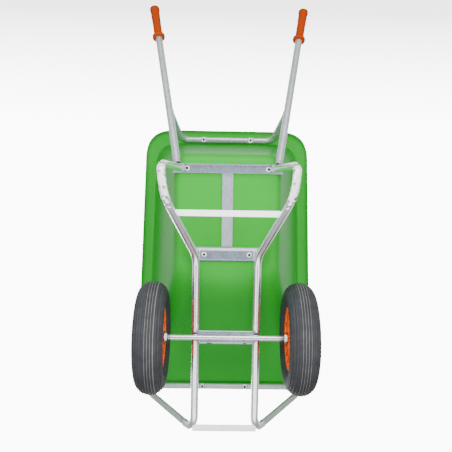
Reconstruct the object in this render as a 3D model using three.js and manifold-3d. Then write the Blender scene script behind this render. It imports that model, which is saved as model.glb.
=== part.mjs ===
// A two-wheel wheelbarrow: plastic tray, zinc-plated tube frame, pneumatic wheels, plastic grips.
// Millimetres, +Z up, +X to the left hand of a person at the handles, -Y towards the nose.
import * as THREE from 'three';
import { mergeVertices } from 'three/addons/utils/BufferGeometryUtils.js';
import { ConvexGeometry } from 'three/addons/geometries/ConvexGeometry.js';
import Module from 'manifold-3d';

const wasm = await Module();
wasm.setup();

// ---- driving dimensions ----
const GAP = 0.3; // between pieces that touch
const WHEEL_RADIUS = 200; // 4.00-8 tyre
const TYRE_WIDTH = 104;
const HALF_TRACK = 263;
const AXLE_RADIUS = 10;
const TUBE_RADIUS = 14;
const TUBE_WALL = 2;
const BAR_RADIUS = 12.5; // hoop and rear rim bar
const SHEET = 3; // brackets and channels
const MAIN_HALF_GAUGE = 110; // main tube centre from the middle plane
const MAIN_RISE = 0.12; // the main tubes climb towards the nose
const NOSE = { x: 111.5, y: -360, bend: 50, stub: 60 }; // where the main tubes turn up to the hoop
const KNEE = { y: 291, bend: 98 }; // where the main tubes turn out to the feet
const FOOT_FRONT = { x: 211, y: 495, bend: 130 };
const FOOT_REAR = { x: 224, y: 602, bend: 34 };
const LEG_TOP = { x: 173, sink: 8 };
const SHOE = { front: 488, rear: 596, thickness: 3, top: 7, wornOff: 0.5 };
const RIM_TOP = 600; // top of the tray
const TRAY_BOTTOM = 280;
const TRAY_WALL = 4;
const LIP_DEPTH = 18;
const TRAY = {
  rim: { rear: 808, front: -301, halfRear: 343, halfFront: 371, roundRear: 115, roundFront: 60 },
  top: { rear: 752, front: -273, halfRear: 298, halfFront: 326, roundRear: 90, roundFront: 60 },
  floor: { rear: 668, front: 205, halfRear: 198, halfFront: 186, roundRear: 44, roundFront: 76 },
};
const FLOOR_FILLET = 22;
const CROSS = { y: 614, half: 205, width: 34, depth: 18 };
const BRACKET = { rear: 310, front: 272, half: 103, depth: 14, slope: 13, slopeHalf: 118 };
const CHANNEL_HALF = 20;
const CHANNEL_DEPTH = 12;
const BRACE = { y: 443, half: 185, width: 21, z: 66, thickness: 4 };
const AXLE_CHANNEL = { half: 22, depth: 13, webReach: 106, lipReach: 95 };
const HANDLE_FOOT = new THREE.Vector3(184.7, 616, 249.3);
const HANDLE_TIP = new THREE.Vector3(319, 1324, 585);
const GRIP_LENGTH = 165;
const REAR_BAR = { y: 769, half: 195, armY: 850 };
const HOOP = { y: -286, half: 352, room: 30 }; // the tray's lip is cut back for the room
const BAR_BEND = 48;
const NOSE_BAR = { y: -351, half: 118, width: 24, height: 12, wall: 2 };
const DIMPLE = { depth: 7, radius: 10.5 }; // pressed seats for the rim bolts' nuts
const BOLT_RADIUS = 3;
const HOLE_RADIUS = 3.6;
const BOLT_HEAD = { radius: 9, edge: 1, crown: 3.6, crownRadius: 5, height: 4.5 };
const BOLT_SHOWING = 4; // the thread that stands out below the nut
const NUT = { height: 7, bore: 3.9, radius: 6.5, flange: 9, flangeThickness: 1.6 };
const HUB_HALF = 40;
const HUB_BORE = 14.4;
const BUSH_LENGTH = 26;
const RIM_RIBS = 14;
const RIM_RIB = { root: 20, tip: 96, width: 60, thickness: 3.5 };
const TYRE = { tread: 7, sidewall: 6, centre: 152, bead: 105, beadHalf: 30, beadWidth: 7 };
const TYRE_SHOULDER = { radius: 115.5, half: 33 };
const ARCH_OVERLAP = 0.12; // how far the tyre's arch runs past a half circle, as a share of one
const BUSH = { flange: 20, flangeThickness: 2.5, clearance: 0.6, fit: 0.4 };
const COLLAR = { radius: 14.5, length: 9 };
const WASHER = { radius: 17, length: 3 };
const AXLE_OVERHANG = 18; // past the hub, for the washer and pin
const PIN = { x: HALF_TRACK + HUB_HALF + 11, hole: 2.9, radius: 2.4, eye: 4.6, reach: 16 };
const INNER_TUBE = { radius: 150, halfWidth: 36, halfHeight: 32, wall: 3 };
const VALVE = { along: 14, hole: 4.6, stem: 3.2, foot: 4, inner: 62, step: 86, outer: 124 };
const VALVE_HOLE = { rim: [83, 113], tube: [105, 135] }; // how far from the axle each hole runs
const WIDE = 400; // wider than the barrow, for cutting tools

// ---- heights that follow from them ----
const FOOT_Z = SHOE.thickness + GAP + TUBE_RADIUS - SHOE.wornOff;
const AXLE_PLATE_Z = WHEEL_RADIUS + AXLE_RADIUS + GAP;
const MAIN_Z = AXLE_PLATE_Z + SHEET + 2 * GAP + TUBE_RADIUS + MAIN_RISE * AXLE_CHANNEL.half;
const BAR_Z = RIM_TOP - TRAY_WALL - GAP - BAR_RADIUS;
const PLATE_TOP = TRAY_BOTTOM - GAP;
const mainZ = (y) => MAIN_Z - MAIN_RISE * y;

// ---- materials ----
const finish = (color, roughness, metalness) => ({ color, roughness, metalness });
const ZINC = finish(0xc9ced1, 0.35, 0.9);
const GREEN = finish(0x4fa545, 0.45, 0);
const ORANGE = finish(0xf0640f, 0.5, 0);
const RUBBER = finish(0x4b4c4f, 0.85, 0);
const BLACK = finish(0x202022, 0.6, 0);
const WHITE = finish(0xe6e6e2, 0.5, 0);

const barrow = new THREE.Group();

function place(name, shape, look) {
  const mesh = new THREE.Mesh(toGeometry(shape), new THREE.MeshStandardMaterial(look));
  mesh.name = name;
  barrow.add(mesh);
  return mesh;
}

// ---- joins and cuts ----
function solid(geometry) {
  const bare = geometry.clone();
  bare.deleteAttribute('normal');
  bare.deleteAttribute('uv');
  const merged = mergeVertices(bare, 1e-3);
  return new wasm.Manifold(new wasm.Mesh({
    numProp: 3,
    vertProperties: new Float32Array(merged.attributes.position.array),
    triVerts: new Uint32Array(merged.index.array),
  }));
}

function toGeometry(manifold) {
  const mesh = manifold.getMesh();
  const geometry = new THREE.BufferGeometry();
  geometry.setAttribute('position', new THREE.BufferAttribute(mesh.vertProperties, 3));
  geometry.setIndex(new THREE.BufferAttribute(mesh.triVerts, 1));
  geometry.computeVertexNormals();
  return geometry;
}

const joined = (pieces) => pieces.reduce((all, piece) => all.add(piece));
const cut = (body, tools) => tools.reduce((left, tool) => left.subtract(tool), body);

// ---- basic shapes ----
function box(x0, x1, y0, y1, z0, z1) {
  const shape = new THREE.BoxGeometry(x1 - x0, y1 - y0, z1 - z0);
  return solid(shape.translate((x0 + x1) / 2, (y0 + y1) / 2, (z0 + z1) / 2));
}

// An upright cylinder.
function rod(radius, z0, z1, x = 0, y = 0, sides = 16) {
  const shape = new THREE.CylinderGeometry(radius, radius, z1 - z0, sides).rotateX(Math.PI / 2);
  return solid(shape.translate(x, y, (z0 + z1) / 2));
}

function rodAlongX(radius, x0, x1, y, z, sides = 24) {
  const shape = new THREE.CylinderGeometry(radius, radius, x1 - x0, sides).rotateZ(Math.PI / 2);
  return solid(shape.translate((x0 + x1) / 2, y, z));
}

// A profile of [radius, distance along the axis] pairs, closed on itself or on the axis.
function turned(profile, sides) {
  const points = profile.map(([radius, along]) => new THREE.Vector2(radius, along));
  if (THREE.ShapeUtils.area(points) < 0) points.reverse();
  return new THREE.LatheGeometry(points, sides);
}

const closed = (profile) => [...profile, profile[0]];

// A route of straight runs joined by bends, sampled only where it needs to be.
class BentRoute extends THREE.Curve {
  constructor(corners, bends = [], stepsPerBend = 4) {
    super();
    this.stations = [];
    corners.forEach((corner, i) => {
      if (i === 0 || i === corners.length - 1) {
        const other = corners[i === 0 ? 1 : i - 1];
        const tangent = corner.clone().sub(other).multiplyScalar(i === 0 ? -1 : 1).normalize();
        this.stations.push({ point: corner, tangent });
      } else {
        this.addBend(corners[i - 1], corner, corners[i + 1], bends[i - 1], stepsPerBend);
      }
    });
  }

  addBend(before, corner, after, radius, steps) {
    const inward = corner.clone().sub(before).normalize();
    const outward = after.clone().sub(corner).normalize();
    const turn = inward.angleTo(outward);
    const setback = radius * Math.tan(turn / 2);
    const start = corner.clone().addScaledVector(inward, -setback);
    const side = outward.clone().addScaledVector(inward, -inward.dot(outward)).normalize();
    for (let i = 0; i <= steps; i += 1) {
      const angle = (turn * i) / steps;
      const point = start.clone()
        .addScaledVector(inward, radius * Math.sin(angle))
        .addScaledVector(side, radius * (1 - Math.cos(angle)));
      const tangent = inward.clone().multiplyScalar(Math.cos(angle))
        .addScaledVector(side, Math.sin(angle));
      this.stations.push({ point, tangent });
    }
  }

  get steps() {
    return this.stations.length - 1;
  }

  getPointAt(u) {
    return this.stations[Math.round(u * this.steps)].point.clone();
  }

  getTangentAt(u) {
    return this.stations[Math.round(u * this.steps)].tangent.clone();
  }
}

// A tube along a route; with no wall it is solid. Its bore needs fewer sides than its outside.
function tube(route, radius, wall = 0, halfSides = 8) {
  const section = new THREE.Shape().absarc(0, 0, radius, 0, 2 * Math.PI, false);
  if (wall > 0) {
    const bore = new THREE.Path().absarc(0, 0, radius - wall, 0, 2 * Math.PI, true);
    section.holes.push(new THREE.Path(bore.getPoints(4).slice(0, -1)));
  }
  const options = { steps: route.steps, extrudePath: route, curveSegments: halfSides };
  return solid(new THREE.ExtrudeGeometry(section, options));
}

// ---- tray ----
function outline(level, inset = 0) {
  const corners = [
    { x: level.halfRear - inset, y: level.rear - inset, round: level.roundRear },
    { x: -(level.halfRear - inset), y: level.rear - inset, round: level.roundRear },
    { x: -(level.halfFront - inset), y: level.front + inset, round: level.roundFront },
    { x: level.halfFront - inset, y: level.front + inset, round: level.roundFront },
  ];
  const path = new THREE.Path();
  corners.forEach((corner, i) => {
    const from = corners[(i + 3) % 4];
    const to = corners[(i + 1) % 4];
    const here = new THREE.Vector2(corner.x, corner.y);
    const back = new THREE.Vector2(from.x, from.y).sub(here).setLength(corner.round - inset / 2);
    const ahead = new THREE.Vector2(to.x, to.y).sub(here).setLength(corner.round - inset / 2);
    const start = here.clone().add(back);
    const end = here.clone().add(ahead);
    if (i === 0) path.moveTo(start.x, start.y);
    else path.lineTo(start.x, start.y);
    path.quadraticCurveTo(here.x, here.y, end.x, end.y);
  });
  return path.getPoints(6);
}

const raised = (points, z) => points.map((p) => new THREE.Vector3(p.x, p.y, z));
const blend = (a, b, t) => a.map((p, i) => p.clone().lerp(b[i], t));

// The tray's bowl as a convex block: a filleted floor, sloping walls and an open top.
function bowl(inset, topZ) {
  const floorZ = TRAY_BOTTOM + inset;
  const floorEdge = raised(outline(TRAY.floor, inset), floorZ);
  const top = raised(outline(TRAY.top, inset), topZ);
  const flat = raised(outline(TRAY.floor, inset + FLOOR_FILLET), floorZ);
  const wallFoot = blend(floorEdge, top, FLOOR_FILLET / (topZ - floorZ));
  const rings = [0, 0.33, 0.67, 1].map((t) => blend(
    blend(flat, floorEdge, t),
    blend(floorEdge, wallFoot, t),
    t,
  ));
  return solid(new ConvexGeometry([...rings.flat(), ...top]));
}

function slab(points, hole, z0, z1) {
  const shape = new THREE.Shape(points);
  if (hole) shape.holes.push(new THREE.Path(hole));
  const depth = z1 - z0;
  const options = { depth, bevelEnabled: false, curveSegments: 1 };
  return solid(new THREE.ExtrudeGeometry(shape, options).translate(0, 0, z0));
}

function tray() {
  const rim = outline(TRAY.rim);
  const flange = slab(rim, null, RIM_TOP - TRAY_WALL, RIM_TOP);
  const lip = slab(rim, outline(TRAY.rim, TRAY_WALL), RIM_TOP - LIP_DEPTH, RIM_TOP);
  const hoopRoom = box(-WIDE, WIDE, -WIDE, HOOP.y + HOOP.room, 0, RIM_TOP - TRAY_WALL);
  const hollow = bowl(TRAY_WALL, RIM_TOP + 1);
  const holes = trayBolts()
    .map((bolt) => rod(HOLE_RADIUS, bolt.top - bolt.grip, bolt.top + 1, bolt.x, bolt.y));
  return cut(joined([bowl(0, RIM_TOP), flange, lip.subtract(hoopRoom)]), [hollow, ...holes]);
}

// Eight bolts hold the tray: each has its head on the plastic and its nut under the steel.
function trayBolts() {
  const floor = { top: TRAY_BOTTOM + TRAY_WALL, grip: TRAY_WALL + GAP + SHEET };
  const rim = { top: RIM_TOP, grip: TRAY_WALL + GAP + 2 * BAR_RADIUS - DIMPLE.depth };
  const places = [
    { name: 'rear_rim', x: 100, y: REAR_BAR.y, ...rim },
    { name: 'crossmember', x: 152, y: CROSS.y, ...floor },
    { name: 'bracket', x: 84, y: 294, ...floor },
    { name: 'front_rim', x: 91, y: HOOP.y, ...rim },
  ];
  return places.flatMap((p) => [
    { ...p, name: `${p.name}_left` },
    { ...p, name: `${p.name}_right`, x: -p.x },
  ]);
}

const holesFor = (prefix) => trayBolts()
  .filter((bolt) => bolt.name.startsWith(prefix))
  .map((bolt) => rod(HOLE_RADIUS, bolt.top - bolt.grip - LIP_DEPTH, bolt.top, bolt.x, bolt.y));

function addTrayBolts() {
  const { radius, edge, crown, crownRadius, height } = BOLT_HEAD;
  const shank = (length) => [
    [0, height], [crownRadius, crown], [radius, edge], [radius, 0],
    [BOLT_RADIUS, 0], [BOLT_RADIUS, -length], [0, -length],
  ];
  const nutProfile = closed([
    [NUT.bore, 0], [NUT.bore, -NUT.height], [NUT.radius, -NUT.height],
    [NUT.radius, -NUT.flangeThickness], [NUT.flange, -NUT.flangeThickness], [NUT.flange, 0],
  ]);
  trayBolts().forEach((bolt) => {
    const nutTop = bolt.top - bolt.grip - GAP;
    const length = bolt.top - nutTop + NUT.height + BOLT_SHOWING;
    const screw = turned(shank(length), 10).rotateX(Math.PI / 2);
    const nut = turned(nutProfile, 6).rotateX(Math.PI / 2);
    place(`tray_bolt_${bolt.name}`, solid(screw), ZINC).position.set(bolt.x, bolt.y, bolt.top + GAP);
    place(`tray_nut_${bolt.name}`, solid(nut), ZINC).position.set(bolt.x, bolt.y, nutTop);
  });
}

// ---- frame ----
const at = (side, x, y, z) => new THREE.Vector3(side * x, y, z);

const noseCorner = (side) => at(side, NOSE.x, NOSE.y, mainZ(NOSE.y));
const hoopCorner = (side) => at(side, HOOP.half, HOOP.y, BAR_Z);

// A point on the way from the nose up to the hoop's corner.
function risingPoint(side, distance) {
  const up = hoopCorner(side).sub(noseCorner(side)).normalize();
  return noseCorner(side).addScaledVector(up, distance);
}

function mainRoute(side) {
  const bends = [NOSE.bend, KNEE.bend, FOOT_FRONT.bend, FOOT_REAR.bend];
  return new BentRoute([
    risingPoint(side, NOSE.stub),
    noseCorner(side),
    at(side, MAIN_HALF_GAUGE, KNEE.y, mainZ(KNEE.y)),
    at(side, FOOT_FRONT.x, FOOT_FRONT.y, FOOT_Z),
    at(side, FOOT_REAR.x, FOOT_REAR.y, FOOT_Z),
    at(side, LEG_TOP.x, CROSS.y, PLATE_TOP - LEG_TOP.sink),
  ], bends, 5);
}

const mainBlank = (side) => tube(mainRoute(side), TUBE_RADIUS + GAP);

const crossmemberBlank = () => box(
  -CROSS.half - GAP, CROSS.half + GAP,
  CROSS.y - CROSS.width / 2 - GAP, CROSS.y + CROSS.width / 2 + GAP,
  PLATE_TOP - CROSS.depth - GAP, PLATE_TOP + GAP,
);

function legTube(side) {
  return tube(mainRoute(side), TUBE_RADIUS, TUBE_WALL).subtract(crossmemberBlank());
}

// A folded channel: its web against the tray, its lips turned down.
function channel(x0, x1, y0, y1, depth, lipsAlongX) {
  const body = box(x0, x1, y0, y1, PLATE_TOP - depth, PLATE_TOP);
  const inside = lipsAlongX
    ? box(x0 - 1, x1 + 1, y0 + SHEET, y1 - SHEET, PLATE_TOP - depth - 1, PLATE_TOP - SHEET)
    : box(x0 + SHEET, x1 - SHEET, y0 - 1, y1 + 1, PLATE_TOP - depth - 1, PLATE_TOP - SHEET);
  return body.subtract(inside);
}

function rearCrossmember() {
  const { y, half, width, depth } = CROSS;
  return cut(channel(-half, half, y - width / 2, y + width / 2, depth, true), holesFor('crossmember'));
}

function centreChannel() {
  const front = BRACKET.rear + BRACKET.slope + GAP;
  const rear = CROSS.y - CROSS.width / 2 - GAP;
  return channel(-CHANNEL_HALF, CHANNEL_HALF, front, rear, CHANNEL_DEPTH, false);
}

// A section in the Y-Z plane, drawn out along X to both sides of the middle.
function alongX(section, half) {
  const options = { depth: 2 * half, bevelEnabled: false, curveSegments: 4 };
  const bar = new THREE.ExtrudeGeometry(section, options);
  return solid(bar.rotateZ(Math.PI / 2).rotateY(Math.PI / 2).translate(-half, 0, 0));
}

// The front bracket: a plate with a straight front lip, a sloping rear lip, and two end ears.
function frontBracket() {
  const { rear, front, half, depth, slope, slopeHalf } = BRACKET;
  const earFoot = mainZ(front) - TUBE_RADIUS;
  const low = PLATE_TOP - depth;
  const plate = box(-half, half, front, rear, PLATE_TOP - SHEET, PLATE_TOP);
  const frontLip = box(-half, half, front, front + SHEET, low, PLATE_TOP);
  const thick = SHEET * Math.hypot(1, slope / depth);
  const rearLip = alongX(new THREE.Shape([
    new THREE.Vector2(rear - thick, PLATE_TOP),
    new THREE.Vector2(rear, PLATE_TOP),
    new THREE.Vector2(rear + slope, low),
    new THREE.Vector2(rear + slope - thick, low),
  ]), slopeHalf);
  const ears = [-half, half - SHEET].map((x) => box(x, x + SHEET, front, rear, earFoot, PLATE_TOP));
  const whole = joined([plate, frontLip, rearLip, ...ears]);
  return cut(whole, [...holesFor('bracket'), mainBlank(1), mainBlank(-1)]);
}

// The axle channel: a web under both main tubes, with lips turned down beside the axle.
function axleBracket() {
  const { half, depth, webReach, lipReach } = AXLE_CHANNEL;
  const web = box(-webReach, webReach, -half, half, AXLE_PLATE_Z, AXLE_PLATE_Z + SHEET);
  const lips = [-half, half - SHEET]
    .map((y) => box(-lipReach, lipReach, y, y + SHEET, AXLE_PLATE_Z - depth, AXLE_PLATE_Z + SHEET));
  return joined([web, ...lips]);
}

function legBrace() {
  const { y, half, width, z, thickness } = BRACE;
  const bar = box(-half, half, y - width / 2, y + width / 2, z, z + thickness);
  const pieces = cut(bar, [mainBlank(1), mainBlank(-1)]).decompose();
  return pieces.reduce((widest, piece) => (piece.volume() > widest.volume() ? piece : widest));
}

// A flat oval tube across the nose, coped to the main tubes' bends.
function noseBar() {
  const { y, half, width, height, wall } = NOSE_BAR;
  const oval = (w, h) => {
    const straight = (w - h) / 2;
    return new THREE.Shape()
      .absarc(straight, 0, h / 2, -Math.PI / 2, Math.PI / 2, false)
      .absarc(-straight, 0, h / 2, Math.PI / 2, (3 * Math.PI) / 2, false);
  };
  const section = oval(width, height);
  section.holes.push(new THREE.Path(oval(width - 2 * wall, height - 2 * wall).getPoints(4)));
  const bar = alongX(section, half).translate([0, y, mainZ(y)]);
  return cut(bar, [mainBlank(1), mainBlank(-1)]);
}

// A strip that follows the underside of the foot, worn flat where it meets the ground.
function footShoe(side) {
  const around = tube(mainRoute(side), TUBE_RADIUS + GAP + SHOE.thickness);
  const reach = box(-WIDE, WIDE, SHOE.front, SHOE.rear, 0, SHOE.top);
  return around.subtract(mainBlank(side)).intersect(reach);
}

// ---- handles, hoop and rear bar ----
const handleEnd = (side, end) => new THREE.Vector3(side * end.x, end.y, end.z);
const handleRoute = (side) => new BentRoute([
  handleEnd(side, HANDLE_FOOT),
  handleEnd(side, HANDLE_TIP),
]);

function handleTube(side) {
  const blank = tube(handleRoute(side), TUBE_RADIUS, TUBE_WALL);
  return cut(blank, [mainBlank(side), crossmemberBlank()]);
}

function handlePoint(y) {
  const t = (y - HANDLE_FOOT.y) / (HANDLE_TIP.y - HANDLE_FOOT.y);
  return HANDLE_FOOT.clone().lerp(HANDLE_TIP, t);
}

// A bar under the tray's rim, with a round seat pressed into it for each bolt's nut.
function rimBar(route, boltName) {
  const bottom = BAR_Z - BAR_RADIUS;
  const bolts = trayBolts().filter((bolt) => bolt.name.startsWith(boltName));
  const discs = (radius, top) => bolts.map((bolt) => rod(radius, bottom - 1, top, bolt.x, bolt.y));
  const blank = tube(route, BAR_RADIUS, 0, 7);
  const cups = discs(DIMPLE.radius + TUBE_WALL, bottom + DIMPLE.depth + TUBE_WALL)
    .map((disc) => disc.intersect(blank));
  const pressed = joined([tube(route, BAR_RADIUS, TUBE_WALL, 7), ...cups]);
  return cut(pressed, [...discs(DIMPLE.radius, bottom + DIMPLE.depth), ...holesFor(boltName)]);
}

function rearRimBar() {
  const { y, half, armY } = REAR_BAR;
  const weld = handlePoint(armY);
  const route = new BentRoute([
    weld,
    at(1, half, y, BAR_Z),
    at(-1, half, y, BAR_Z),
    handleEnd(-1, weld),
  ], [BAR_BEND, BAR_BEND]);
  const handles = [1, -1].map((side) => tube(handleRoute(side), TUBE_RADIUS + GAP));
  return cut(rimBar(route, 'rear_rim'), handles);
}

function frontHoop() {
  const start = NOSE.stub + GAP;
  const route = new BentRoute([
    risingPoint(1, start),
    hoopCorner(1),
    hoopCorner(-1),
    risingPoint(-1, start),
  ], [BAR_BEND, BAR_BEND]);
  return rimBar(route, 'front_rim');
}

// A grip: a rounded cap past the tube's end, a waisted body and a wide guard at the front.
function addGrip(name, side) {
  const inside = TUBE_RADIUS + GAP + 0.1;
  const cap = { height: 6, face: 17, radius: 20.5, bevel: 3, skirt: 8, neck: 13 };
  const waist = { rear: 18.5, middle: 17.6, front: 17.2 };
  const guard = { start: 18, rise: 14, shoulder: 3, radius: 26, face: 24 };
  const profile = [
    [0, cap.height], [cap.face, cap.height], [cap.radius, cap.bevel], [cap.radius, -cap.skirt],
    [waist.rear, -cap.neck], [waist.middle, -GRIP_LENGTH / 2],
    [waist.front, -GRIP_LENGTH + guard.start], [guard.radius, -GRIP_LENGTH + guard.rise],
    [guard.radius, -GRIP_LENGTH + guard.shoulder], [guard.face, -GRIP_LENGTH],
    [inside, -GRIP_LENGTH], [inside, -GAP], [0, -GAP],
  ].map(([radius, along]) => [radius, along + 2 * GAP]);
  const axis = handleEnd(side, HANDLE_TIP).sub(handleEnd(side, HANDLE_FOOT)).normalize();
  const grip = place(name, solid(turned(profile, 16)), ORANGE);
  grip.position.copy(handleEnd(side, HANDLE_TIP));
  grip.quaternion.setFromUnitVectors(new THREE.Vector3(0, 1, 0), axis);
}

// ---- axle and wheels ----
function axle() {
  const half = HALF_TRACK + HUB_HALF + AXLE_OVERHANG;
  const low = WHEEL_RADIUS - 2 * AXLE_RADIUS;
  const high = WHEEL_RADIUS + 2 * AXLE_RADIUS;
  const pinHoles = [-1, 1].map((side) => rod(PIN.hole, low, high, side * PIN.x, 0, 8));
  return cut(rodAlongX(AXLE_RADIUS, -half, half, 0, WHEEL_RADIUS), pinHoles);
}

// The tyre's section is an arch that is open towards the rim.
function tyreProfile() {
  const { tread, sidewall, centre, bead, beadHalf, beadWidth } = TYRE;
  const shoulder = TYRE_SHOULDER;
  const arch = (halfWidth, height, steps) => Array.from({ length: steps + 1 }, (_, i) => {
    const angle = Math.PI * ((1 + 2 * ARCH_OVERLAP) * (i / steps) - ARCH_OVERLAP);
    return [centre + height * Math.sin(angle), halfWidth * Math.cos(angle)];
  });
  const outer = arch(TYRE_WIDTH / 2, WHEEL_RADIUS - centre, 11);
  const inner = arch(TYRE_WIDTH / 2 - sidewall, WHEEL_RADIUS - centre - tread, 6).reverse();
  return closed([
    [bead, beadHalf], [shoulder.radius, shoulder.half], ...outer,
    [shoulder.radius, -shoulder.half], [bead, -beadHalf],
    [bead, -beadHalf + beadWidth], ...inner, [bead, beadHalf - beadWidth],
  ]);
}

function rimProfile() {
  const hub = 24;
  const web = 3;
  const barrel = 93;
  const seat = 104;
  const half = 39;
  const flange = 114;
  return closed([
    [HUB_BORE, HUB_HALF], [hub, HUB_HALF], [hub, web], [barrel, web], [barrel, half], [flange, half],
    [flange, half - 5], [seat, half - 7], [seat - 6, 0], [seat, -half + 7], [flange, -half + 5],
    [flange, -half], [barrel, -half], [barrel, -web], [hub, -web], [hub, -HUB_HALF],
    [HUB_BORE, -HUB_HALF],
  ]);
}

function rim(side) {
  const { root, tip, width, thickness } = RIM_RIB;
  const rib = new THREE.BoxGeometry(tip - root, width, thickness).translate((root + tip) / 2, 0, 0);
  const ribs = Array.from({ length: RIM_RIBS }, (_, i) => solid(
    rib.clone().rotateY((2 * Math.PI * (i + 0.5)) / RIM_RIBS),
  ));
  const valveHole = rodAlongX(VALVE.hole, ...VALVE_HOLE.rim, side * VALVE.along, 0, 8);
  return joined([solid(turned(rimProfile(), 28)), ...ribs]).subtract(valveHole);
}

function ringProfile(halfWidth, halfHeight, steps) {
  return closed(Array.from({ length: steps }, (_, i) => {
    const angle = (2 * Math.PI * i) / steps;
    return [INNER_TUBE.radius + halfHeight * Math.sin(angle), halfWidth * Math.cos(angle)];
  }));
}

// The inner tube is hollow, and its valve hole opens towards the rim.
function innerTube(side) {
  const { halfWidth, halfHeight, wall } = INNER_TUBE;
  const skin = solid(turned(ringProfile(halfWidth, halfHeight, 8), 20));
  const air = solid(turned(ringProfile(halfWidth - wall, halfHeight - wall, 6), 20));
  const hole = rodAlongX(VALVE.hole, ...VALVE_HOLE.tube, side * VALVE.along, 0, 8);
  return skin.subtract(air).subtract(hole);
}

// The valve stem runs from the inner tube through the rim's barrel towards the hub.
function valve(side) {
  const { inner, step, outer, stem, foot, along } = VALVE;
  const profile = [
    [0, inner], [stem, inner], [stem, step], [foot, step + 1], [foot, outer], [0, outer],
  ];
  return solid(turned(profile, 10).rotateZ(-Math.PI / 2).translate(0, side * along, 0));
}

function bush(face) {
  const bore = AXLE_RADIUS + BUSH.clearance;
  const skirt = HUB_BORE - BUSH.fit;
  const outside = HUB_HALF + BUSH.flangeThickness;
  const profile = closed([
    [bore, face * (HUB_HALF - BUSH_LENGTH)], [skirt, face * (HUB_HALF - BUSH_LENGTH)],
    [skirt, face * (HUB_HALF + GAP)], [BUSH.flange, face * (HUB_HALF + GAP)],
    [BUSH.flange, face * outside], [bore, face * outside],
  ]);
  return solid(turned(profile, 16));
}

// A split pin through the axle, with its eye on top and its legs bent open below.
function splitPin() {
  const { radius, eye, reach } = PIN;
  const bevel = eye - radius;
  const profile = [
    [0, reach + 3], [3, reach + 3], [eye, reach], [eye, reach - 3], [radius, reach - 3 - bevel],
    [radius, -reach + 3], [radius + 1.2, -reach], [0, -reach],
  ];
  return solid(turned(profile, 8).rotateX(Math.PI / 2));
}

function addWheel(sideName, side) {
  const spin = new THREE.Group();
  spin.position.set(side * HALF_TRACK, 0, WHEEL_RADIUS);
  spin.rotation.z = -Math.PI / 2;
  barrow.add(spin);
  const onWheel = [
    ['tyre', solid(turned(tyreProfile(), 30)), RUBBER],
    ['inner_tube', innerTube(side), BLACK],
    ['rim', rim(side), ORANGE],
    ['bush_outer', bush(side), BLACK],
    ['bush_inner', bush(-side), BLACK],
    ['valve', valve(side), BLACK],
  ];
  onWheel.forEach(([name, shape, look]) => spin.add(place(`${name}_${sideName}`, shape, look)));
}

// Outside each hub sits a washer with a split pin; inside it, a plastic collar.
function addAxleEnds(sideName, side) {
  const bore = AXLE_RADIUS + BUSH.clearance;
  const ring = ({ radius, length }) => solid(turned(closed([
    [bore, 0], [radius, 0], [radius, length], [bore, length],
  ]), 16).rotateZ(-Math.PI / 2));
  const bushFace = HUB_HALF + BUSH.flangeThickness + GAP;
  const collarX = side * HALF_TRACK + (side > 0 ? -bushFace - COLLAR.length : bushFace);
  const washerX = side * HALF_TRACK + (side > 0 ? bushFace : -bushFace - WASHER.length);
  place(`axle_collar_${sideName}`, ring(COLLAR), WHITE).position.set(collarX, 0, WHEEL_RADIUS);
  place(`axle_washer_${sideName}`, ring(WASHER), ZINC).position.set(washerX, 0, WHEEL_RADIUS);
  place(`split_pin_${sideName}`, splitPin(), ZINC).position.set(side * PIN.x, 0, WHEEL_RADIUS);
}

// ---- assembly ----
place('tray', tray(), GREEN);
place('rear_crossmember', rearCrossmember(), ZINC);
place('centre_channel', centreChannel(), ZINC);
place('front_tray_bracket', frontBracket(), ZINC);
place('axle_bracket', axleBracket(), ZINC);
place('leg_brace', legBrace(), ZINC);
place('nose_bar', noseBar(), ZINC);
place('rear_rim_bar', rearRimBar(), ZINC);
place('front_hoop', frontHoop(), ZINC);
place('axle', axle(), ZINC);
[['left', 1], ['right', -1]].forEach(([sideName, side]) => {
  place(`leg_tube_${sideName}`, legTube(side), ZINC);
  place(`foot_shoe_${sideName}`, footShoe(side), ZINC);
  place(`handle_tube_${sideName}`, handleTube(side), ZINC);
  addGrip(`grip_${sideName}`, side);
  addWheel(sideName, side);
  addAxleEnds(sideName, side);
});
addTrayBolts();

// The origin is under the middle of the whole barrow.
const extent = new THREE.Box3().setFromObject(barrow, true);
barrow.position.y = -(extent.min.y + extent.max.y) / 2;

export default barrow;
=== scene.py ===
"""A two-wheel wheelbarrow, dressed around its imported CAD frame.

+Z is up, +Y points back to the handles and +X to the left hand of a person at the handles.
The CAD nodes give the places. Tubes, tray, wheels, grips and fasteners are built again here in
finer mesh, on the same sizes, and each takes its CAD node's place. The sheet brackets, the nose bar
and the inner tubes keep their CAD mesh, with softened edges.
"""

import math

import bpy
import numpy as np
from mathutils import Matrix, Vector


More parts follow.
